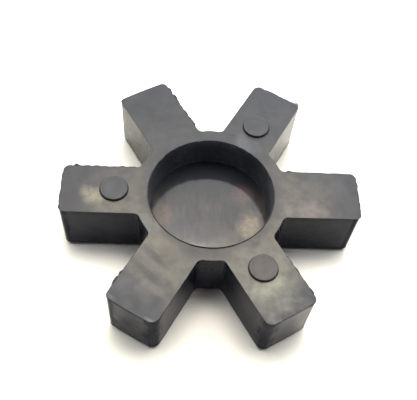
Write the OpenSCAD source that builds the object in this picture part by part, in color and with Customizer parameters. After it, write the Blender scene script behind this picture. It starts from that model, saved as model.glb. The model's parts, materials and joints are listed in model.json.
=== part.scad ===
// Elastomer insert ("spider") of a curved-jaw shaft coupling: a six-legged star moulded in one
// piece of black nitrile rubber. Its legs lie between the jaws of two metal hubs.
// Axis along Z, leg 1 along +X, origin on the axis at mid thickness, millimetres.

/* [Overall] */
// Distance across two opposite leg tips
tip_span = 53.6; // [50:0.2:60]
// Thickness of the legs and of the centre ring
body_t = 11.4; // [10:0.2:14]

/* [Legs] */
// Width of a leg, from one jaw face to the other
leg_w = 9.8; // [8:0.2:11]
// Radius of the two upright corners at the tip of a leg
tip_corner_r = 1.2; // [0.4:0.1:3]
// Radius of the fillet where a leg grows out of the ring
root_fillet_r = 1.2; // [0.3:0.1:1.6]

/* [Hub] */
// Outer diameter of the centre ring
ring_d = 27.6; // [26.4:0.2:29]
// Diameter of the round recesses above and below the web
recess_d = 22.7; // [20:0.1:24]
// Depth of the upper recess
top_recess_t = 6.4; // [3:0.1:7]
// Thickness of the web between the two recesses
web_t = 2.0; // [1:0.1:2.6]

/* [Spacer pips] */
// Diameter of a pip
pip_d = 5.0; // [3:0.1:6]
// How far a pip stands proud of its leg
pip_t = 0.5; // [0.2:0.1:1]
// Distance from the axis to the middle of a pip
pip_reach = 17.4; // [17:0.1:20]

/* [Hidden] */

$fn = 96;
leg_count = 6;
leg_step = 360 / leg_count;
upper_legs = [2, 4, 6]; // legs with a pip on the upper face
lower_legs = [1, 3, 5]; // legs with a pip on the lower face
rubber = [0.16, 0.16, 0.17];
pip_rubber = [0.19, 0.19, 0.19];
cut = 1; // how far a cutting solid runs past the face it opens

ring_r = ring_d / 2;
tip_r = tip_span / 2;
half_w = leg_w / 2;
half_t = body_t / 2;
recess_floor_z = half_t - top_recess_t;
web_under_z = recess_floor_z - web_t;

// Middle of the root fillet: one fillet radius outside both the jaw face and the ring
fillet_y = half_w + root_fillet_r;
fillet_x = sqrt(pow(ring_r + root_fillet_r, 2) - pow(fillet_y, 2));
// Where the jaw face would meet the ring, and where the fillet meets the ring
corner_x = sqrt(pow(ring_r, 2) - pow(half_w, 2));
fillet_foot = [fillet_x, fillet_y] * ring_r / (ring_r + root_fillet_r);

module at_leg(i) {
    rotate([0, 0, (i - 1) * leg_step]) children();
}

// Rubber that fills the corner between a jaw face, the ring and the round root fillet
module root_fillet_outline() {
    difference() {
        polygon([
            [corner_x - cut, half_w - cut],
            [fillet_x, half_w - cut],
            [fillet_x, half_w],
            fillet_foot,
        ]);
        translate([fillet_x, fillet_y]) circle(r = root_fillet_r);
    }
}

// Straight-sided leg with rounded tip corners, up to the ring's outer wall
module leg_outline() {
    straight_end = tip_r - tip_corner_r;
    difference() {
        union() {
            translate([0, -half_w]) square([straight_end, leg_w]);
            translate([0, tip_corner_r - half_w]) square([tip_r, leg_w - 2 * tip_corner_r]);
            for (side = [-1, 1])
                translate([straight_end, side * (half_w - tip_corner_r)]) circle(r = tip_corner_r);
            root_fillet_outline();
            mirror([0, 1]) root_fillet_outline();
        }
        circle(r = ring_r, $fn = 192);
    }
}

module leg(i) {
    color(rubber)
        at_leg(i)
            translate([0, 0, -half_t]) linear_extrude(height = body_t) leg_outline();
}

// Centre ring with a solid web; the recess above the web is deeper than the one below it
module hub() {
    color(rubber)
        difference() {
            translate([0, 0, -half_t]) cylinder(r = ring_r, h = body_t, $fn = 192);
            translate([0, 0, recess_floor_z]) cylinder(d = recess_d, h = top_recess_t + cut, $fn = 192);
            translate([0, 0, -half_t - cut])
                cylinder(d = recess_d, h = web_under_z + half_t + cut, $fn = 192);
        }
}

// Low round pips that hold the insert off the hub faces, on every other leg
module pips(legs, floor_z) {
    color(pip_rubber)
        for (i = legs)
            at_leg(i) translate([pip_reach, 0, floor_z]) cylinder(d = pip_d, h = pip_t, $fn = 64);
}

module spacer_pips_top() {
    pips(upper_legs, half_t);
}

module spacer_pips_bottom() {
    pips(lower_legs, -half_t - pip_t);
}

hub();
leg(1);  // leg_1
leg(2);  // leg_2
leg(3);  // leg_3
leg(4);  // leg_4
leg(5);  // leg_5
leg(6);  // leg_6
spacer_pips_top();
spacer_pips_bottom();
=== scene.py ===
"""Looks of a jaw coupling's rubber insert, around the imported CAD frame.

The moulding's skin is one mesh cut into a closed piece for the hub and for each leg. Six spacer pips
stand on it. Lengths are in millimetres until a mesh is made. Legs are numbered from 0 in this script:
leg 0 is the node leg_1, along +X, and the others follow anticlockwise.
"""

import json
import math

import bmesh
import bpy
from mathutils import Matrix, Vector, noise


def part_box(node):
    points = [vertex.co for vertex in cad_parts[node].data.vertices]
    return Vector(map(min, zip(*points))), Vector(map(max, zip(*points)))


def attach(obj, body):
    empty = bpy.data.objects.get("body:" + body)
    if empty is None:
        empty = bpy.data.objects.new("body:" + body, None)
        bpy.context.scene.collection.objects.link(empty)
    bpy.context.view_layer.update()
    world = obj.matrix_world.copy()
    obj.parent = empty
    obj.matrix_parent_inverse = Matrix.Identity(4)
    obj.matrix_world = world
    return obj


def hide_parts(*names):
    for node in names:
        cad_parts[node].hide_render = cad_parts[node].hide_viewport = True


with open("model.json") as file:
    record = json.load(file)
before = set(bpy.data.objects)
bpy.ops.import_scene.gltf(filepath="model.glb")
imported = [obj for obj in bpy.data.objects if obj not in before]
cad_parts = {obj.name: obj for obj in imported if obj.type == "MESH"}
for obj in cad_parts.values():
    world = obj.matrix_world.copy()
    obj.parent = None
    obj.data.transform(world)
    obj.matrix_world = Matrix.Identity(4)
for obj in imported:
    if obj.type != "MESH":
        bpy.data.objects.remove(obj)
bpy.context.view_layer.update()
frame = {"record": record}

# ---------------------------------------------------------------- sizes, in millimetres
MM = 0.001
LEGS = 6
STEP = 2 * math.pi / LEGS
MOUNTS = {mount["name"]: mount for mount in frame["record"]["mounts"]}


def node_box(name):
    """The low and high corners of a CAD node, in millimetres."""
    low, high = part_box(name)
    return low / MM, high / MM


HUB_LOW, HUB_HIGH = node_box("hub")
RING_R = HUB_HIGH.x
TOP_Z = HUB_HIGH.z
BOTTOM_Z = HUB_LOW.z
TIP_R = node_box("leg_1")[1].x
PIP_T = node_box("spacer_pips_top")[1].z - TOP_Z
FLOOR_Z = node_box("spacer_pips_bottom")[0].z

HALF_W = MOUNTS["leg_1_left_face"]["pos_m"][1] / MM
RECESS_R = MOUNTS["top_recess"]["dims"]["r_mm"]
TOP_RECESS_T = MOUNTS["top_recess"]["dims"]["length_mm"]
BOTTOM_RECESS_T = MOUNTS["bottom_recess"]["dims"]["length_mm"]
PIP_REACH = -MOUNTS["top_pip_4_face"]["pos_m"][0] / MM
PIP_R = -node_box("spacer_pips_top")[0].x - PIP_REACH

# Upright tip corners and root fillets, the crown of the tips, and the groove beside a tip corner
CORNER_R = 1.0
FILLET_R = 1.2
TIP_BOW = 0.12
TIP_BOW_LENGTH = 4.8
GROOVE = 0.03
GROOVE_W = 0.32
GROOVE_FROM_CORNER = 0.3

# Rounding of the long edges, and the burr round the upper recess
EDGE_R = 0.05
BOTTOM_EDGE_R = 0.28
RIM_R = 0.06
RIM_W = 0.16
RIM_BURR = 0.20
FLOOR_FILLET = 0.02

TOP_PIP_LEGS = (1, 3, 5)
BOTTOM_PIP_LEGS = (0, 2, 4)

# Parts of the outline
RIGHT, LEFT, TIP, GAP = -1, 1, 0, 2
SHARP_ANGLE = math.radians(50)

# Mesh density: segments along each stretch of the outline and across each patch
N_FILLET = 8
N_FLANK = 46
N_CORNER = 10
N_ACROSS = 28
N_GAP = 12
N_RING = 9
N_WALL = 14
N_POCKET = 16
N_POCKET_FILLET = 4
N_WEB = 26
N_PIP = 80


# ---------------------------------------------------------------- small helpers
def smooth(x):
    """0 below 0 and 1 above 1, with an even rise between them."""
    x = min(max(x, 0.0), 1.0)
    return x * x * (3 - 2 * x)


def turn(x, y, leg):
    """From the leg's frame, where the leg lies along +X, to the insert's."""
    a = leg * STEP
    return x * math.cos(a) - y * math.sin(a), x * math.sin(a) + y * math.cos(a)


def wobble(x, y, z, size, seed):
    """Smooth noise of about -1 to 1 with features of the given size in millimetres."""
    return noise.noise(Vector((x / size + 17.3 * seed, y / size - 9.1 * seed, z / size + 4.7 * seed)))


# ---------------------------------------------------------------- outline of one leg
FILLET_Y = HALF_W + FILLET_R
FILLET_X = math.sqrt((RING_R + FILLET_R) ** 2 - FILLET_Y**2)
FOOT_ANGLE = math.atan2(FILLET_Y, FILLET_X)


def leg_side(corner_r):
    """One side of a leg from the ring to the tip: (point, outward normal), for one tip corner radius."""
    out = []
    start = math.pi + FOOT_ANGLE
    for i in range(N_FILLET + 1):
        a = start + (1.5 * math.pi - start) * i / N_FILLET
        c, s = math.cos(a), math.sin(a)
        out.append(((FILLET_X + FILLET_R * c, FILLET_Y + FILLET_R * s), (-c, -s)))
    length = TIP_R - corner_r - FILLET_X
    for i in range(1, N_FLANK + 1):
        out.append(((FILLET_X + length * i / N_FLANK, HALF_W), (0.0, 1.0)))
    for i in range(1, N_CORNER + 1):
        a = math.pi / 2 * (1 - i / N_CORNER)
        c, s = math.cos(a), math.sin(a)
        out.append(((TIP_R - corner_r + corner_r * c, HALF_W - corner_r + corner_r * s), (c, s)))
    return out


# Tip corners that are rounder or sharper than the rest
ODD_CORNERS = {(4, LEFT): 1.5, (5, RIGHT): 1.4, (2, LEFT): 0.7, (1, RIGHT): 0.8}
SIDES = {
    (leg, side): leg_side(ODD_CORNERS.get((leg, side), CORNER_R))
    for leg in range(LEGS)
    for side in (RIGHT, LEFT)
}
ROWS = len(SIDES[0, RIGHT])


# Flash left by the mould: (leg, where, from mm, to mm, reach in mm). where is LEFT or RIGHT for a
# flank, measured from the axis; TIP, measured across the tip from the leg's middle line; or GAP, the
# ring between this leg and the next, measured along this leg.
TOP_FLASH = [
    (2, RIGHT, 14.5, 25.5, 0.26),
    (1, RIGHT, 14.0, 17.5, 0.10),
    (1, TIP, -4.9, 4.9, 0.16),
    (1, TIP, -4.9, -3.6, 0.30),
    (3, RIGHT, 13.5, 26.0, 0.16),
    (3, RIGHT, 24.0, 26.4, 0.20),
    (3, TIP, -4.0, 4.5, 0.10),
    (0, LEFT, 13.6, 16.0, 0.26),
    (0, LEFT, 16.0, 25.0, 0.07),
    (0, TIP, -4.9, 4.9, 0.12),
    (0, TIP, -4.9, -4.1, 0.34),
    (4, RIGHT, 21.0, 25.0, 0.22),
    (4, RIGHT, 15.0, 21.0, 0.10),
    (5, LEFT, 17.0, 26.0, 0.14),
    (5, TIP, 2.2, 4.9, 0.15),
    (2, LEFT, 24.0, 26.8, 0.14),
    (1, GAP, 0.0, 14.0, 0.09),
]
# The faint flash everywhere, and how far from its ends a stretch reaches full size, in millimetres
EVEN_FLASH = 0.015
FLASH_FADE = 0.6


def flash_reach(leg, where, along, under):
    """How far the torn lip stands out of the outline here, in millimetres."""
    if where == TIP:
        x, y = turn(TIP_R, along, leg)
    else:
        x, y = turn(along, HALF_W if where == LEFT else -HALF_W, leg)
    seed = 3.0 if under else 1.0
    ragged = 0.45 + 0.9 * wobble(x, y, 0.0, 0.9, seed) + 0.6 * wobble(x, y, 5.0, 0.4, seed + 1)
    reach = EVEN_FLASH
    if not under:
        for f_leg, f_where, low, high, size in TOP_FLASH:
            if f_leg == leg and f_where == where:
                inside = smooth((along - low) / FLASH_FADE) * smooth((high - along) / FLASH_FADE)
                reach += size * inside
    return max(reach * (0.25 + 1.3 * ragged), 0.0)


# How far the top edge is worn round at each tip, in mm; elsewhere it is crisp
WORN_TIPS = {4: 0.09, 5: 0.07}


def edge_radius(leg, row):
    """The top edge is crisp along the flanks and worn round at the tip and its corners."""
    worn = smooth((row - (ROWS - N_CORNER - 8)) / 8)
    return EDGE_R + (WORN_TIPS.get(leg, EDGE_R) - EDGE_R) * worn


def shape_top(x, y, z):
    """Slow unevenness of the upper and lower faces, kept away from the pips."""
    clear = 1.0
    for leg in TOP_PIP_LEGS if z > 0 else BOTTOM_PIP_LEGS:
        px, py = turn(PIP_REACH, 0.0, leg)
        clear *= smooth((math.hypot(x - px, y - py) - PIP_R - 0.3) / 1.5)
    slow = 0.030 * wobble(x, y, z, 6.0, 2.0) + 0.012 * wobble(x, y, z, 2.2, 5.0)
    return (slow - 0.02) * clear * (1 if z > 0 else -1)


def shape_wall(x, y, z):
    """Slow unevenness of the upright walls."""
    return 0.035 * wobble(x, y, z, 5.0, 7.0) + 0.012 * wobble(x, y, z, 1.8, 8.0)


def shape_web(x, y, z):
    """Slow unevenness of the web, which is nearly a mirror."""
    return 0.012 * wobble(x, y, z, 6.0, 11.0) + 0.003 * wobble(x, y, z, 1.6, 12.0)


# Ragged spots on the pocket's mouth: (angle, half width, reach into the pocket), degrees and mm
RIM_NICKS = [(101, 2.5, 0.22), (143, 4.0, 0.16), (62, 2.0, 0.10), (20, 3.0, 0.12), (205, 3.0, 0.08)]


# The burr round the upper recess's rim: (distance out from the recess's wall, share of its height)
BURR = ((0.12, 0.75), (0.08, 1.0), (0.04, 0.9))


def rim_nick(x, y):
    """(outward, upward) push on the pocket's mouth: slightly ragged, with a few small tags of rubber."""
    angle = math.degrees(math.atan2(y, x)) % 360
    inward = 0.03 * wobble(x, y, 0.0, 1.1, 21.0)
    upward = 0.05 * wobble(x, y, 0.0, 2.3, 22.0)
    for middle, half, reach in RIM_NICKS:
        inward += reach * smooth(1 - abs(angle - middle) / half)
    return -inward, upward


# ---------------------------------------------------------------- the moulding's skin
# What a face belongs to, in the order of a piece's materials; a "cap" is an inner face
SURFACES = ("flat", "wall", "pocket", "web")


class Skin:
    """Vertices of the whole moulding, and faces kept apart by the region they belong to."""

    def __init__(self):
        self.points = []
        self.faces = {}

    def add(self, x, y, z):
        self.points.append((x, y, z))
        return len(self.points) - 1

    def face(self, region, corners, tag="flat"):
        self.faces.setdefault(region, []).append((corners, tag))

    def grid(self, region, rows, tag="flat", closed=False):
        """Quads between neighbouring rows of vertex numbers."""
        for a, b in zip(rows, rows[1:]):
            for i in range(len(a) if closed else len(a) - 1):
                j = (i + 1) % len(a)
                self.face(region, (a[i], a[j], b[j], b[i]), tag)

    def piece(self, region):
        """A closed mesh object of one region, with crisp edges where the surface turns sharply."""
        order = {}
        for corners, _ in self.faces[region]:
            for v in corners:
                order.setdefault(v, len(order))
        mesh = bpy.data.meshes.new(region)
        polygons = [[order[v] for v in corners] for corners, _ in self.faces[region]]
        mesh.from_pydata([Vector(self.points[v]) * MM for v in order], [], polygons)
        tags = [tag for _, tag in self.faces[region]]
        bm = bmesh.new()
        bm.from_mesh(mesh)
        bm.faces.ensure_lookup_table()
        inner = set()
        for face, tag in zip(bm.faces, tags):
            face.smooth = True
            face.material_index = SURFACES.index(tag) if tag in SURFACES else 0
            if tag == "cap":
                inner.add(face)
        bmesh.ops.recalc_face_normals(bm, faces=bm.faces)
        for edge in bm.edges:
            sides = {face in inner for face in edge.link_faces}
            edge.smooth = len(sides) == 1 and edge.calc_face_angle(0.0) < SHARP_ANGLE
        bm.to_mesh(mesh)
        bm.free()
        thing = bpy.data.objects.new(region, mesh)
        bpy.context.scene.collection.objects.link(thing)
        return thing


def tip_span(leg):
    """Where the flat part of the tip starts and ends, measured across the leg."""
    return -SIDES[leg, RIGHT][-1][0][1], SIDES[leg, LEFT][-1][0][1]


def outline_columns():
    """The outline once round, anticlockwise, as dicts: point, normal, leg and place along the leg."""
    columns = []
    for leg in range(LEGS):
        for side in (RIGHT, LEFT):
            rows = range(ROWS) if side == RIGHT else range(ROWS - 1, -1, -1)
            for row in rows:
                (x, y), (nx, ny) = SIDES[leg, side][row]
                columns.append(dict(leg=leg, part=side, row=row, x=x, y=side * y, nx=nx, ny=side * ny))
            if side == RIGHT:
                low, high = tip_span(leg)
                for i in range(1, N_ACROSS):
                    y = low + (high - low) * i / N_ACROSS
                    columns.append(dict(leg=leg, part=TIP, row=i, x=TIP_R, y=y, nx=1.0, ny=0.0))
        for i in range(1, N_GAP):
            a = FOOT_ANGLE + (STEP - 2 * FOOT_ANGLE) * i / N_GAP
            c, s = math.cos(a), math.sin(a)
            columns.append(dict(leg=leg, part=GAP, row=i, x=RING_R * c, y=RING_R * s, nx=c, ny=s))
    return columns


def bow(x, y):
    """The tip face is very slightly crowned."""
    near_tip = smooth((x - (TIP_R - TIP_BOW_LENGTH)) / TIP_BOW_LENGTH)
    return TIP_BOW * (0.5 - (y / HALF_W) ** 2) * near_tip


def groove(column):
    """Depth of the shallow upright groove that the mould leaves beside each tip corner."""
    leg, part = column["leg"], column["part"]
    if part == TIP:
        low, high = tip_span(leg)
        beside = min(column["y"] - low, high - column["y"])
    elif part in (RIGHT, LEFT):
        beside = SIDES[leg, part][-1 - N_CORNER][0][0] - column["x"]
    else:
        return 0.0
    return GROOVE * math.exp(-(((beside - GROOVE_FROM_CORNER) / GROOVE_W) ** 2))


def place(column, outset, z, wall=0.0):
    """A point of the outline in the insert's frame, moved out along its normal."""
    x = column["x"] + column["nx"] * outset
    y = column["y"] + column["ny"] * outset
    if column["part"] != GAP:
        x, y = x + bow(x, y) - column["nx"] * groove(column), y - column["ny"] * groove(column)
    x, y = turn(x, y, column["leg"])
    if wall:
        nx, ny = turn(column["nx"], column["ny"], column["leg"])
        push = wall * shape_wall(x, y, z)
        x, y = x + nx * push, y + ny * push
    return x, y, z


# Where the rounding of an edge is drawn, in radians from the flat face
ROUNDING = (0.0, 0.35, 0.75, 1.15)
# The torn lip, the fine line under it and the start of the wall: (share of the lip's reach, how far
# out of the outline, depth below the rounding)
LIP = [
    (0.8, 0.01, 0.03),
    (1.0, 0.02, 0.08),
    (0.6, 0.01, 0.13),
    (0.0, -0.012, 0.19),
    (0.0, -0.010, 0.27),
    (0.0, 0.0, 0.42),
]


def edge_profile(column, under):
    """(outset, drop below the face) down an edge: rounding, torn lip, the line under it, then wall."""
    part, row = column["part"], column["row"]
    on_corner = part in (RIGHT, LEFT) and row > ROWS - 1 - N_CORNER // 2
    e = BOTTOM_EDGE_R if under else EDGE_R
    if not under and part != GAP:
        e = edge_radius(column["leg"], ROWS - 1 if part == TIP else row)
    if part == TIP or on_corner:
        lip = flash_reach(column["leg"], TIP, column["y"], under)
    else:
        lip = flash_reach(column["leg"], part, column["x"], under)
    rounding = [(-e * (1 - math.sin(a)), e * (1 - math.cos(a))) for a in ROUNDING]
    return rounding + [(out + lip * share, 0.75 * e + depth) for share, out, depth in LIP]


def leg_rows(skin, edge, leg, z, upper):
    """Rows of vertices across the flat face of a leg, from the ring to the tip."""
    rows = []
    inner = RING_R - (EDGE_R if upper else BOTTOM_EDGE_R)
    for row in range(ROWS):
        if row == ROWS - 1:
            middle = [edge[leg, TIP, i] for i in range(1, N_ACROSS)]
            rows.append([edge[leg, RIGHT, row], *middle, edge[leg, LEFT, row]])
            continue
        e = edge_radius(leg, row) if upper else BOTTOM_EDGE_R
        ends = []
        for side in (RIGHT, LEFT):
            (x, y), (nx, ny) = SIDES[leg, side][row]
            ends.append(((x - nx * e), side * (y - ny * e)))
        (x_right, y_right), (x_left, y_left) = ends
        fade = max(0.0, 1 - (x_right - SIDES[leg, RIGHT][0][0][0]) / 4.5)
        line = [edge[leg, RIGHT, row]]
        for i in range(1, N_ACROSS):
            t = i / N_ACROSS
            round_x = math.sqrt(inner**2 - ((2 * t - 1) * inner * math.sin(FOOT_ANGLE)) ** 2)
            px = x_right + (x_left - x_right) * t + (round_x - inner * math.cos(FOOT_ANGLE)) * fade
            py = y_right + (y_left - y_right) * t
            wx, wy = turn(px + bow(px, py), py, leg)
            line.append(skin.add(wx, wy, z + shape_top(wx, wy, z)))
        rows.append([*line, edge[leg, LEFT, row]])
    return rows


def circle(skin, angles, r, z, uneven):
    """A ring of vertices at the given angles; uneven(x, y) gives its push outward and upward."""
    line = []
    for a in angles:
        x, y = r * math.cos(a), r * math.sin(a)
        outward, upward = uneven(x, y)
        line.append(skin.add(x + outward * math.cos(a), y + outward * math.sin(a), z + upward))
    return line


def ring_rows(skin, ring, angles, z, upper):
    """The flat ring in to the recess's mouth, where the upper face has a thin burr."""
    rows = [ring]
    outer = RING_R - (EDGE_R if upper else BOTTOM_EDGE_R)
    mouth = RECESS_R + (RIM_W if upper else RIM_R)
    for i in range(1, N_RING + 1):
        r = outer + (mouth - outer) * i / N_RING
        rows.append(circle(skin, angles, r, z, lambda x, y: (0.0, shape_top(x, y, z))))
    for out, height in BURR if upper else ():
        rows.append(circle(skin, angles, RECESS_R + out, z + RIM_BURR * height, rim_nick))
    return rows


def pocket_rows(skin, angles, z, down, recess_t):
    """The recess's wall from its rim down, with a small fillet at the web."""
    rows = [circle(skin, angles, RECESS_R, z + down * RIM_R, rim_nick)]
    straight = recess_t - FLOOR_FILLET - RIM_R
    for i in range(1, N_POCKET + 1):
        depth = RIM_R + straight * i / N_POCKET
        fade = 0.5 * smooth(i / 3) * smooth((N_POCKET - i) / 3)

        def uneven(x, y):
            return fade * shape_wall(x, y, depth), 0.0

        rows.append(circle(skin, angles, RECESS_R, z + down * depth, uneven))
    for i in range(1, N_POCKET_FILLET + 1):
        a = math.pi / 2 * i / N_POCKET_FILLET
        r = RECESS_R - FLOOR_FILLET * (1 - math.cos(a))
        depth = RIM_R + straight + FLOOR_FILLET * math.sin(a)
        rows.append(circle(skin, angles, r, z + down * depth, lambda x, y: (0.0, 0.0)))
    return rows


def add_web(skin, rim, angles, z, web_z):
    """One face of the web, from the foot of the recess's wall in to the middle."""
    rows = [rim]
    for i in range(1, N_WEB):
        r = (RECESS_R - FLOOR_FILLET) * (1 - i / N_WEB)
        fade = smooth(i / 4)
        rows.append(circle(skin, angles, r, web_z, lambda x, y: (0.0, fade * shape_web(x, y, z))))
    skin.grid("hub", rows, tag="web", closed=True)
    middle = skin.add(0.0, 0.0, web_z)
    last = rows[-1]
    for i, v in enumerate(last):
        skin.face("hub", (v, last[(i + 1) % len(last)], middle), "web")


def flat_face(skin, columns, level, z, recess_t):
    """One face of the moulding with its recess: legs, ring, pocket and web. Returns the root rows."""
    upper = z > 0
    down = -1 if upper else 1
    edge = {(c["leg"], c["part"], c["row"]): number for c, number in zip(columns, level)}
    roots, ring = [], []
    for leg in range(LEGS):
        rows = leg_rows(skin, edge, leg, z, upper)
        skin.grid(f"leg_{leg + 1}", rows)
        roots.append(rows[0])
        ring += rows[0] + [edge[leg, GAP, i] for i in range(1, N_GAP)]
    angles = [math.atan2(skin.points[v][1], skin.points[v][0]) for v in ring]
    flat = ring_rows(skin, ring, angles, z, upper)
    pocket = pocket_rows(skin, angles, z, down, recess_t)
    skin.grid("hub", flat, closed=True)
    skin.grid("hub", [flat[-1], *pocket], tag="pocket", closed=True)
    add_web(skin, pocket[-1], angles, z, z + down * recess_t)
    return roots


def close_roots(skin, columns, levels, top_roots, bottom_roots):
    """The inner faces where a leg meets the hub, so that each region is a closed solid."""
    feet = {(c["leg"], c["part"]): i for i, c in enumerate(columns) if c["row"] == 0}
    for leg in range(LEGS):
        rows = [top_roots[leg]]
        angles = [math.atan2(skin.points[v][1], skin.points[v][0]) for v in top_roots[leg]]
        for level in levels[1:-1]:
            right, left = level[feet[leg, RIGHT]], level[feet[leg, LEFT]]
            x, y, z = skin.points[right]
            r = math.hypot(x, y)
            line = [skin.add(r * math.cos(a), r * math.sin(a), z) for a in angles[1:-1]]
            rows.append([right, *line, left])
        rows.append(bottom_roots[leg])
        skin.grid(f"leg_{leg + 1}", rows, tag="cap")
        skin.grid("hub", rows, tag="cap")


def build_skin():
    """The whole moulding: upper edges, walls and lower edges row by row, then the two faces."""
    skin = Skin()
    columns = outline_columns()
    tops = [edge_profile(c, under=False) for c in columns]
    bottoms = [edge_profile(c, under=True) for c in columns]
    steps = len(tops[0])
    levels = []

    def edge_level(profiles, step, face_z, down):
        line = []
        for column, profile in zip(columns, profiles):
            outset, drop = profile[step]
            x, y, z = place(column, outset, face_z + down * drop)
            line.append(skin.add(x, y, z + (shape_top(x, y, z) if step < len(ROUNDING) else 0.0)))
        levels.append(line)

    for step in range(steps):
        edge_level(tops, step, TOP_Z, -1)
    for i in range(1, N_WALL):
        fade = smooth(i / 2) * smooth((N_WALL - i) / 2)
        line = []
        for column, top, bottom in zip(columns, tops, bottoms):
            high, low = TOP_Z - top[-1][1], BOTTOM_Z + bottom[-1][1]
            line.append(skin.add(*place(column, 0.0, high + (low - high) * i / N_WALL, wall=fade)))
        levels.append(line)
    for step in reversed(range(steps)):
        edge_level(bottoms, step, BOTTOM_Z, 1)
    for step, (a, b) in enumerate(zip(levels, levels[1:])):
        # The roundings next to the two faces are as dull as the faces
        tag = "wall" if 2 < step < len(levels) - 4 else "flat"
        for i, here in enumerate(columns):
            j = (i + 1) % len(columns)
            in_gap = GAP in (here["part"], columns[j]["part"])
            skin.face("hub" if in_gap else f"leg_{here['leg'] + 1}", (a[i], a[j], b[j], b[i]), tag)
    top_roots = flat_face(skin, columns, levels[0], TOP_Z, TOP_RECESS_T)
    bottom_roots = flat_face(skin, columns, levels[-1], BOTTOM_Z, BOTTOM_RECESS_T)
    close_roots(skin, columns, levels, top_roots, bottom_roots)
    return skin


# ---------------------------------------------------------------- spacer pips
# A pip's end: (radius, depth below it). It has a faint witness ring and a rounded rim.
PIP_END = [
    (0.8, 0.000), (1.5, 0.000), (1.98, 0.004), (2.06, 0.026), (2.13, 0.028), (2.20, 0.006),
    (2.34, 0.010), (2.43, 0.040), (2.48, 0.090), (2.50, 0.160),
]
# Its foot: (radius past PIP_R, height above the leg). It sinks a little into the leg.
PIP_SINK = 0.03
PIP_FOOT = [(0.0, 0.14), (0.03, 0.06), (0.12, 0.0), (0.12, -PIP_SINK), (-1.3, -PIP_SINK)]


def pip(name, leg, face_z, outward):
    """A low round button, lathed, standing on a leg's face."""
    rings = [(r, PIP_T - drop) for r, drop in PIP_END]
    rings += [(PIP_R + past, height) for past, height in PIP_FOOT]
    cx, cy = turn(PIP_REACH, 0.0, leg)
    points, faces = [(cx, cy, face_z + outward * PIP_T)], []
    for r, height in rings:
        uneven = 0.008 if height > 0.2 else 0.0
        for i in range(N_PIP):
            a = 2 * math.pi * i / N_PIP
            x, y = cx + r * math.cos(a), cy + r * math.sin(a)
            points.append((x, y, face_z + outward * (height + uneven * wobble(x, y, height, 1.2, 14.0))))
    points.append((cx, cy, face_z - outward * PIP_SINK))
    last = len(points) - 1
    foot = 1 + (len(rings) - 1) * N_PIP
    for i in range(N_PIP):
        j = (i + 1) % N_PIP
        faces.append((0, 1 + i, 1 + j))
        for k in range(len(rings) - 1):
            a, b = 1 + k * N_PIP, 1 + (k + 1) * N_PIP
            faces.append((a + i, b + i, b + j, a + j))
        faces.append((foot + i, last, foot + j))
    mesh = bpy.data.meshes.new(name)
    mesh.from_pydata([Vector(p) * MM for p in points], [], faces)
    bm = bmesh.new()
    bm.from_mesh(mesh)
    bmesh.ops.recalc_face_normals(bm, faces=bm.faces)
    for face in bm.faces:
        face.smooth = True
    for edge in bm.edges:
        edge.smooth = edge.calc_face_angle(0.0) < SHARP_ANGLE
    bm.to_mesh(mesh)
    bm.free()
    thing = bpy.data.objects.new(name, mesh)
    bpy.context.scene.collection.objects.link(thing)
    return thing


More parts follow.
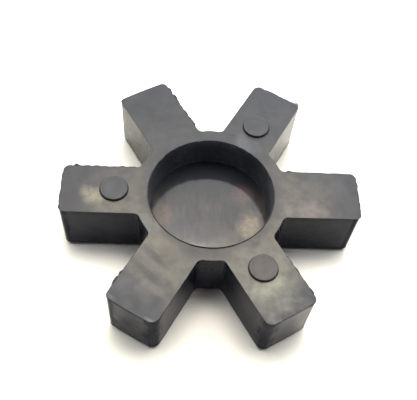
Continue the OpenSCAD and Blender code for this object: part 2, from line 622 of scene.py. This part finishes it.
# ---------------------------------------------------------------- rubber
class Graph:
    """Short calls for building a node material."""

    def __init__(self, name):
        self.material = bpy.data.materials.new(name)
        self.material.use_nodes = True
        self.tree = self.material.node_tree
        self.shader = self.tree.nodes["Principled BSDF"]
        coordinates = self.tree.nodes.new("ShaderNodeTexCoord").outputs["Object"]
        self.mm = self.vector("SCALE", coordinates, scale=1 / MM)

    def link(self, value, socket):
        if isinstance(value, bpy.types.NodeSocket):
            self.tree.links.new(value, socket)
        else:
            socket.default_value = value

    def vector(self, operation, a, b=None, scale=None):
        """A vector sum; LENGTH and DOT_PRODUCT give a number."""
        node = self.tree.nodes.new("ShaderNodeVectorMath")
        node.operation = operation
        self.link(a, node.inputs[0])
        if b is not None:
            self.link(b, node.inputs[1])
        if scale is not None:
            self.link(scale, node.inputs["Scale"])
        return node.outputs["Value" if operation in ("LENGTH", "DOT_PRODUCT") else "Vector"]

    def math(self, operation, a, b=0.0):
        node = self.tree.nodes.new("ShaderNodeMath")
        node.operation = operation
        self.link(a, node.inputs[0])
        self.link(b, node.inputs[1])
        return node.outputs[0]

    def remap(self, value, low, high, to_low=0.0, to_high=1.0):
        """A smooth step from to_low at low to to_high at high."""
        node = self.tree.nodes.new("ShaderNodeMapRange")
        node.interpolation_type = "SMOOTHSTEP"
        node.inputs["From Min"].default_value = low
        node.inputs["From Max"].default_value = high
        node.inputs["To Min"].default_value = to_low
        node.inputs["To Max"].default_value = to_high
        self.link(value, node.inputs["Value"])
        return node.outputs["Result"]

    def along(self, direction):
        """Distance from the origin along a direction, in millimetres."""
        return self.vector("DOT_PRODUCT", self.mm, direction)

    def noise(self, size, detail=2.0, stretch=(1, 1, 1), roughness=0.5):
        """Noise from 0 to 1 with features of the given size in millimetres."""
        mapping = self.tree.nodes.new("ShaderNodeMapping")
        mapping.inputs["Scale"].default_value = [1 / (size * s) for s in stretch]
        self.link(self.mm, mapping.inputs["Vector"])
        node = self.tree.nodes.new("ShaderNodeTexNoise")
        node.inputs["Scale"].default_value = 1.0
        node.inputs["Detail"].default_value = detail
        node.inputs["Roughness"].default_value = roughness
        self.link(mapping.outputs[0], node.inputs["Vector"])
        return node.outputs["Fac"]

    def mix(self, factor, a, b):
        """Colour a where factor is 0, and b where it is 1."""
        node = self.tree.nodes.new("ShaderNodeMix")
        node.data_type = "RGBA"
        factor_in, a_in, b_in, result = 0, 6, 7, 2
        self.link(factor, node.inputs[factor_in])
        self.link(a, node.inputs[a_in])
        self.link(b, node.inputs[b_in])
        return node.outputs[result]

    def patch(self, leg, x, y, reach_x, reach_y, angle=0.0):
        """1 inside an uneven oval, fading to 0 outside it; x and y are in the leg's frame."""
        px, py = turn(x, y, leg)
        centre = self.vector("SUBTRACT", self.mm, (px, py, 0.0))
        node = self.tree.nodes.new("ShaderNodeVectorRotate")
        node.rotation_type = "Z_AXIS"
        node.inputs["Angle"].default_value = -(leg * STEP + math.radians(angle))
        self.link(centre, node.inputs["Vector"])
        scaled = self.vector("MULTIPLY", node.outputs[0], (1 / reach_x, 1 / reach_y, 0.0))
        length = self.vector("LENGTH", scaled)
        ragged = self.math("MULTIPLY", self.math("SUBTRACT", self.noise(2.4, 4.0), 0.5), 1.3)
        return self.remap(self.math("ADD", length, ragged), 1.15, 0.25)


# Stain patches and painted light: (leg, x, y, reach along, reach across, turned by, colour, strength)
FLAT_STAINS_AND_HIGHLIGHTS = [
    (5, 20.5, -1.2, 8.0, 7.0, 0, (0.085, 0.079, 0.058, 1), 0.80),
    (5, 20.4, -0.6, 2.2, 3.6, 0, (0.150, 0.148, 0.106, 1), 0.75),
    (5, 17.6, 3.1, 3.0, 1.1, 0, (0.100, 0.095, 0.070, 1), 0.50),
    (3, 20.5, 1.4, 3.2, 2.2, -25, (0.150, 0.135, 0.088, 1), 0.90),
    (3, 18.0, 3.9, 2.6, 1.2, 0, (0.080, 0.070, 0.052, 1), 0.60),
    (0, 17.6, -3.3, 4.0, 2.2, 0, (0.095, 0.076, 0.062, 1), 0.70),
    (0, 16.8, 4.2, 2.2, 1.5, 0, (0.008, 0.008, 0.009, 1), 0.70),
    (4, 14.2, -3.0, 2.4, 3.0, 0, (0.100, 0.088, 0.068, 1), 0.60),
    (4, 21.3, 0.5, 0.9, 5.0, -10, (0.075, 0.064, 0.052, 1), 0.60),
    (4, 18.0, 1.0, 0.9, 4.0, -10, (0.075, 0.064, 0.052, 1), 0.50),
    (4, 16.3, -1.6, 0.9, 3.6, -16, (0.008, 0.005, 0.003, 1), 0.85),
    (4, 19.6, -0.8, 0.8, 5.0, -12, (0.008, 0.005, 0.003, 1), 0.85),
    (4, 23.6, 3.4, 1.6, 2.6, 0, (0.012, 0.010, 0.008, 1), 0.60),
    # Painted highlights: these two pale spots at the corners of leg 4's tip are painted in for glints on
    # its worn corners.
    (4, 26.4, 3.4, 0.4, 1.6, 0, (0.075, 0.074, 0.072, 1), 0.70),
    (4, 26.2, -4.0, 0.5, 1.2, 0, (0.060, 0.059, 0.058, 1), 0.70),
    (4.4, 12.4, 0.0, 2.0, 5.5, 0, (0.014, 0.008, 0.005, 1), 0.85),
    (1.0, 12.8, 0.0, 2.2, 3.0, 0, (0.050, 0.050, 0.056, 1), 0.75),
    (3.5, 12.8, 0.0, 2.2, 3.4, 0, (0.078, 0.074, 0.058, 1), 0.70),
]
WEB_STAINS_AND_HIGHLIGHTS = [
    # Painted highlight: the first two entries are warm pale patches at the front and front right of the
    # web, painted in for a highlight there.
    (5.62, 8.4, 0.0, 2.8, 3.8, 0, (0.190, 0.155, 0.110, 1), 0.80),
    (4.9, 7.2, 0.0, 2.4, 4.0, 0, (0.070, 0.057, 0.044, 1), 0.70),
    (4, 8.0, 3.2, 1.4, 3.6, 0, (0.120, 0.088, 0.066, 1), 0.75),
    (0, 6.5, 3.6, 2.8, 2.4, 30, (0.075, 0.046, 0.044, 1), 0.75),
    (3, 8.6, 1.5, 2.2, 3.4, 0, (0.100, 0.068, 0.050, 1), 0.75),
    (0, 0.0, -3.8, 3.0, 2.0, 0, (0.045, 0.042, 0.036, 1), 0.50),
]
WALL_STAINS_AND_REFLECTIONS = [
    # Painted reflection: the first two entries pale leg 1's right flank and leg 2's left flank, painted
    # in for the floor's glare seen along them. The third is a pale patch at leg 5's tip.
    (1, 20.5, -4.9, 15.0, 2.6, 0, (0.120, 0.120, 0.108, 1), 1.0),
    (2, 20.0, 4.9, 12.0, 2.2, 0, (0.080, 0.082, 0.072, 1), 0.90),
    (5, 26.8, 2.8, 1.6, 3.0, 0, (0.070, 0.066, 0.062, 1), 0.80),
]
# Duller spots on the walls, mostly upright corners: (leg, x, y, reach, how much duller)
DULL_SPOTS = [
    (4, 26.3, -4.2, 1.9, 0.75), (4, 26.4, 4.4, 2.3, 0.75),
    (5, 26.2, -4.3, 2.2, 0.75), (5, 26.6, 4.7, 1.0, 0.75),
    (3, 26.4, 4.6, 1.3, 0.75), (0, 26.4, -4.6, 1.3, 0.75),
    (4, 21.5, 4.9, 9.0, 0.45), (5, 20.0, -4.9, 8.0, 0.35),
    (4, 26.8, -2.0, 4.0, 0.35), (5, 26.8, 2.0, 4.0, 0.30),
]
# Painted light: a pale bluish patch on the recesses' walls towards +Y, painted in to lighten the far
# wall where it lies in shade.
POCKET_PAINTED_LIGHT = [(1.5, 11.4, 0.0, 4.0, 10.0, 0, (0.120, 0.132, 0.165, 1), 1.0)]
PIP_STAINS = [(5, 17.4, 0.0, 4.0, 4.0, 0, (0.030, 0.018, 0.010, 1), 0.9)]


def dust_mask(g):
    """Dry dust: thick on the ring and in front, thin on the back legs and towards the tips."""
    reach = g.vector("LENGTH", g.vector("MULTIPLY", g.mm, (1.0, 1.0, 0.0)))
    near_ring = g.math("MULTIPLY", g.remap(reach, 27.0, 15.0), g.remap(reach, 11.4, 13.8, 0.45, 1.0))
    in_front = g.remap(g.along((0.0, 1.0, 0.0)), 15.0, -9.0, 0.12, 1.0)
    mottled = g.remap(g.noise(2.2, 6.0, roughness=0.6), 0.25, 0.75, 0.45, 1.4)
    return g.math("MULTIPLY", g.math("MULTIPLY", near_ring, in_front), mottled)


# Tints of the gloss
COOL = (0.96, 0.99, 1.06, 1)
BLUE = (0.94, 0.97, 1.13, 1)


def bloomed(g, base):
    """The rubber's own colour under patches of slightly paler bloom."""
    paler = (*(1.7 * v + 0.004 for v in base), 1)
    return g.mix(g.remap(g.noise(5.0, 5.0), 0.35, 0.70, 0.0, 0.8), (*base, 1), paler)


def streaked(g, base, paler):
    """The rubber's own colour under long paler streaks, which fade out towards the back."""
    streaks = g.remap(g.noise(1.4, 6.0, (0.9, 3.0, 1), roughness=0.6), 0.30, 0.76)
    in_front = g.remap(g.along((0.0, 1.0, 0.0)), 7.0, 1.0)
    return g.mix(g.math("MULTIPLY", streaks, in_front), (*base, 1), (*paler, 1))


def stained_and_painted(g, colour, stains_and_light, evenness=0.55):
    """The colour with each stain patch or painted light patch laid over it, at least as strong
    everywhere as evenness says.
    """
    for leg, x, y, reach_x, reach_y, angle, shade, strength in stains_and_light:
        mask = g.patch(leg, x, y, reach_x, reach_y, angle)
        mottled = g.remap(g.noise(1.1, 5.0), 0.25, 0.7, evenness, 1.0)
        colour = g.mix(g.math("MULTIPLY", g.math("MULTIPLY", mask, strength), mottled), colour, shade)
    return colour


def add_dull_spots(g):
    """The walls' gloss, a little weaker towards the floor and much weaker at the dull spots."""
    level = g.remap(g.along((0.0, 0.0, 1.0)), BOTTOM_Z, TOP_Z, 0.36, 0.41)
    for leg, x, y, reach, amount in DULL_SPOTS:
        dull = g.remap(g.patch(leg, x, y, reach, reach), 0.0, 1.0, 1.0, 1.0 - amount)
        level = g.math("MULTIPLY", level, dull)
    g.link(level, g.shader.inputs["Specular IOR Level"])


def surfaced(g, colour, roughness, ior, grain, tint=COOL):
    """The material with this colour, uneven gloss and a fine moulded grain."""
    g.link(colour, g.shader.inputs["Base Color"])
    rough = g.remap(g.noise(2.4, 5.0, roughness=0.6), 0.25, 0.75, roughness * 0.90, roughness * 1.16)
    g.link(rough, g.shader.inputs["Roughness"])
    g.shader.inputs["IOR"].default_value = ior
    g.shader.inputs["Specular Tint"].default_value = tint
    height = g.math("ADD", g.noise(0.35, 4.0), g.math("MULTIPLY", g.noise(1.6, 2.0), 2.0))
    node = g.tree.nodes.new("ShaderNodeBump")
    node.inputs["Strength"].default_value = grain
    node.inputs["Distance"].default_value = 0.03 * MM
    g.link(height, node.inputs["Height"])
    g.link(node.outputs[0], g.shader.inputs["Normal"])
    return g.material


def flat_rubber():
    """The upper and lower faces: dull and dusty, with stain patches, and painted highlights at the
    corners of leg 4's tip.
    """
    g = Graph("moulded_rubber_flat")
    colour = bloomed(g, (0.006, 0.006, 0.007))
    colour = g.mix(dust_mask(g), colour, (0.060, 0.052, 0.036, 1))
    return surfaced(g, stained_and_painted(g, colour, FLAT_STAINS_AND_HIGHLIGHTS), roughness=0.50, ior=1.40, grain=0.5)


def wall_rubber():
    """The upright faces: smoother, so that they mirror the floor when seen along them, with a painted
    reflection of the floor on two flanks.
    """
    g = Graph("moulded_rubber_wall")
    colour = stained_and_painted(g, bloomed(g, (0.008, 0.009, 0.014)), WALL_STAINS_AND_REFLECTIONS, evenness=0.7)
    add_dull_spots(g)
    return surfaced(g, colour, roughness=0.17, ior=1.19, grain=0.15, tint=BLUE)


def pocket_rubber():
    """The recesses' walls: dull, and painted paler and bluer than the rest of the rubber as painted
    light, most on the far side.
    """
    g = Graph("moulded_rubber_pocket")
    # The base colour is painted paler and bluer than the rubber's own, as painted light on the recesses'
    # walls.
    colour = stained_and_painted(g, bloomed(g, (0.045, 0.048, 0.056)), POCKET_PAINTED_LIGHT)
    return surfaced(g, colour, roughness=0.60, ior=1.25, grain=0.2)


def web_rubber():
    """The web: nearly a mirror, with streaks, brown stain patches and a painted warm highlight at the
    front right.
    """
    g = Graph("moulded_rubber_web")
    colour = streaked(g, (0.013, 0.014, 0.018), (0.036, 0.031, 0.025))
    return surfaced(g, stained_and_painted(g, colour, WEB_STAINS_AND_HIGHLIGHTS), roughness=0.11, ior=1.36, grain=0.04)


def pip_rubber():
    """The pips: a little paler and smoother than the faces they stand on."""
    g = Graph("moulded_rubber_pip")
    colour = stained_and_painted(g, bloomed(g, (0.010, 0.010, 0.010)), PIP_STAINS)
    return surfaced(g, colour, roughness=0.48, ior=1.40, grain=0.4)


# ---------------------------------------------------------------- studio, in metres
LIGHT_DISTANCE = 1.6
STUDIO_R = 1.95
BACKDROP_H = 0.2
BACKDROP_SIDES = 96
BACKDROP_GLOW = 0.75
FLOOR_COLOUR = (0.76, 0.737, 0.685, 1)
BACKDROP_COLOUR = (0.9, 0.9, 0.9, 1)
# The floor lies this far under the lower pips, in millimetres
FLOOR_GAP = 0.03


def add_stage_piece(name, points, faces, colour, glow):
    """A piece of the studio, in metres: diffuse, or with a soft glow of its own."""
    mesh = bpy.data.meshes.new(name)
    mesh.from_pydata(points, [], faces)
    thing = bpy.data.objects.new(name, mesh)
    bpy.context.scene.collection.objects.link(thing)
    material = bpy.data.materials.new(name)
    material.use_nodes = True
    shader = material.node_tree.nodes["Principled BSDF"]
    shader.inputs["Base Color"].default_value = colour
    shader.inputs["Roughness"].default_value = 0.9
    shader.inputs["Specular IOR Level"].default_value = 0.0
    shader.inputs["Emission Color"].default_value = (1.0, 0.99, 0.97, 1)
    shader.inputs["Emission Strength"].default_value = glow
    mesh.materials.append(material)


def add_studio():
    """A plain pale floor, and a low pale backdrop all round, far behind everything."""
    half, z = STUDIO_R * 1.1, (FLOOR_Z - FLOOR_GAP) * MM
    corners = [(-half, -half, z), (half, -half, z), (half, half, z), (-half, half, z)]
    add_stage_piece("floor", corners, [(0, 1, 2, 3)], FLOOR_COLOUR, 0.0)
    count = BACKDROP_SIDES
    points = []
    for height in (z, BACKDROP_H):
        for i in range(count):
            a = 2 * math.pi * i / count
            points.append((STUDIO_R * math.cos(a), STUDIO_R * math.sin(a), height))
    faces = [(i, (i + 1) % count, count + (i + 1) % count, count + i) for i in range(count)]
    add_stage_piece("backdrop", points, faces, BACKDROP_COLOUR, BACKDROP_GLOW)


# ---------------------------------------------------------------- camera and light
# Degrees: azimuth from straight in front, height above the horizon, and roll
CAMERA_AZIMUTH, CAMERA_ELEVATION, CAMERA_ROLL = -5.69, 57.74, 6.46
CAMERA_DISTANCE = 120.5
CAMERA_LENS = 58.3
# The point on the upper face that the camera looks at
AIM = Vector((-0.51, -1.73, TOP_Z))


def add_camera():
    """The camera at the photo's angle, rolled a little, as it was held."""
    az, el, roll = (math.radians(v) for v in (CAMERA_AZIMUTH, CAMERA_ELEVATION, CAMERA_ROLL))
    back = Vector((math.sin(az) * math.cos(el), -math.cos(az) * math.cos(el), math.sin(el)))
    level = Vector((math.cos(az), math.sin(az), 0.0))
    upright = back.cross(level)
    right = math.cos(roll) * level + math.sin(roll) * upright
    up = -math.sin(roll) * level + math.cos(roll) * upright
    data = bpy.data.cameras.new("camera")
    data.sensor_width = 36.0
    data.lens = CAMERA_LENS
    data.clip_start, data.clip_end = 0.005, 20.0
    camera = bpy.data.objects.new("camera", data)
    bpy.context.scene.collection.objects.link(camera)
    turned = Matrix((right, up, back)).transposed().to_4x4()
    camera.matrix_world = Matrix.Translation((AIM + back * CAMERA_DISTANCE) * MM) @ turned
    bpy.context.scene.camera = camera


# Soft disks behind and above the insert: azimuth (0 is behind it, seen from the camera), elevation,
# half angle, brightness and colour. Cool and dim near the horizon, and one strong warm light high up.
LIGHTS = {
    "low_back": (0, 15, 25, 1.5, (0.70, 0.95, 1.35)),
    "low_left": (-60, 15, 25, 0.8, (1.00, 1.00, 0.85)),
    "back_left": (-38, 35, 25, 1.4, (1.06, 1.04, 0.90)),
    "back_right": (38, 35, 25, 1.8, (0.94, 1.00, 1.12)),
    "middle": (0, 50, 25, 1.5, (1.00, 1.00, 1.00)),
    "high_left": (-45, 55, 25, 1.7, (1.06, 1.03, 0.94)),
    "high_right": (45, 55, 25, 3.4, (1.08, 1.02, 0.90)),
    "side_left": (-90, 55, 25, 0.5, (0.92, 0.98, 1.08)),
    "side_right": (90, 55, 25, 0.5, (0.90, 0.98, 1.10)),
    "top_back": (0, 73, 10.5, 17.5, (1.08, 1.00, 0.92)),
    "top_left": (-75, 68, 14, 4.2, (1.00, 1.00, 1.00)),
    "top_right": (75, 68, 14, 4.8, (1.00, 1.00, 1.00)),
}


def add_light(name, azimuth, elevation, half_angle, brightness, colour):
    """A soft disk aimed at the insert. Its energy is what gives it this brightness seen from there."""
    az, el = math.radians(azimuth), math.radians(elevation)
    r = LIGHT_DISTANCE * math.tan(math.radians(half_angle))
    data = bpy.data.lights.new(name, "AREA")
    data.shape = "DISK"
    data.size = 2 * r
    data.energy = brightness * (math.pi * r) ** 2
    data.color = colour
    light = bpy.data.objects.new(name, data)
    towards = Vector((math.sin(az) * math.cos(el), math.cos(az) * math.cos(el), math.sin(el)))
    light.location = towards * LIGHT_DISTANCE
    light.rotation_euler = towards.to_track_quat("Z", "Y").to_euler()
    bpy.context.scene.collection.objects.link(light)


def add_world(colour, strength):
    """A faint even fill from all round."""
    world = bpy.data.worlds.new("studio")
    bpy.context.scene.world = world
    world.use_nodes = True
    background = world.node_tree.nodes["Background"]
    background.inputs["Color"].default_value = (*colour, 1)
    background.inputs["Strength"].default_value = strength


# ---------------------------------------------------------------- assembly
# One material for each of SURFACES; the legs have only the first two
hub_materials = [flat_rubber(), wall_rubber(), pocket_rubber(), web_rubber()]
leg_materials = hub_materials[:2]

skin = build_skin()
for region in ["hub"] + [f"leg_{number + 1}" for number in range(LEGS)]:
    piece = skin.piece(region)
    piece.name = f"{region}_skin"
    for material in hub_materials if region == "hub" else leg_materials:
        piece.data.materials.append(material)
    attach(piece, "root")
    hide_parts(region)

pip_material = pip_rubber()
for pip_legs, face_z, outward, node in (
    (TOP_PIP_LEGS, TOP_Z, 1, "spacer_pips_top"),
    (BOTTOM_PIP_LEGS, BOTTOM_Z, -1, "spacer_pips_bottom"),
):
    for number in pip_legs:
        piece = pip(f"spacer_pip_leg_{number + 1}", number, face_z, outward)
        piece.data.materials.append(pip_material)
        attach(piece, "root")
        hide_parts(node)

add_studio()
add_camera()
add_world((0.98, 0.97, 0.95), 0.04)
for light_name, settings in LIGHTS.items():
    add_light(light_name, *settings)
bpy.context.scene.view_settings.view_transform = "Standard"
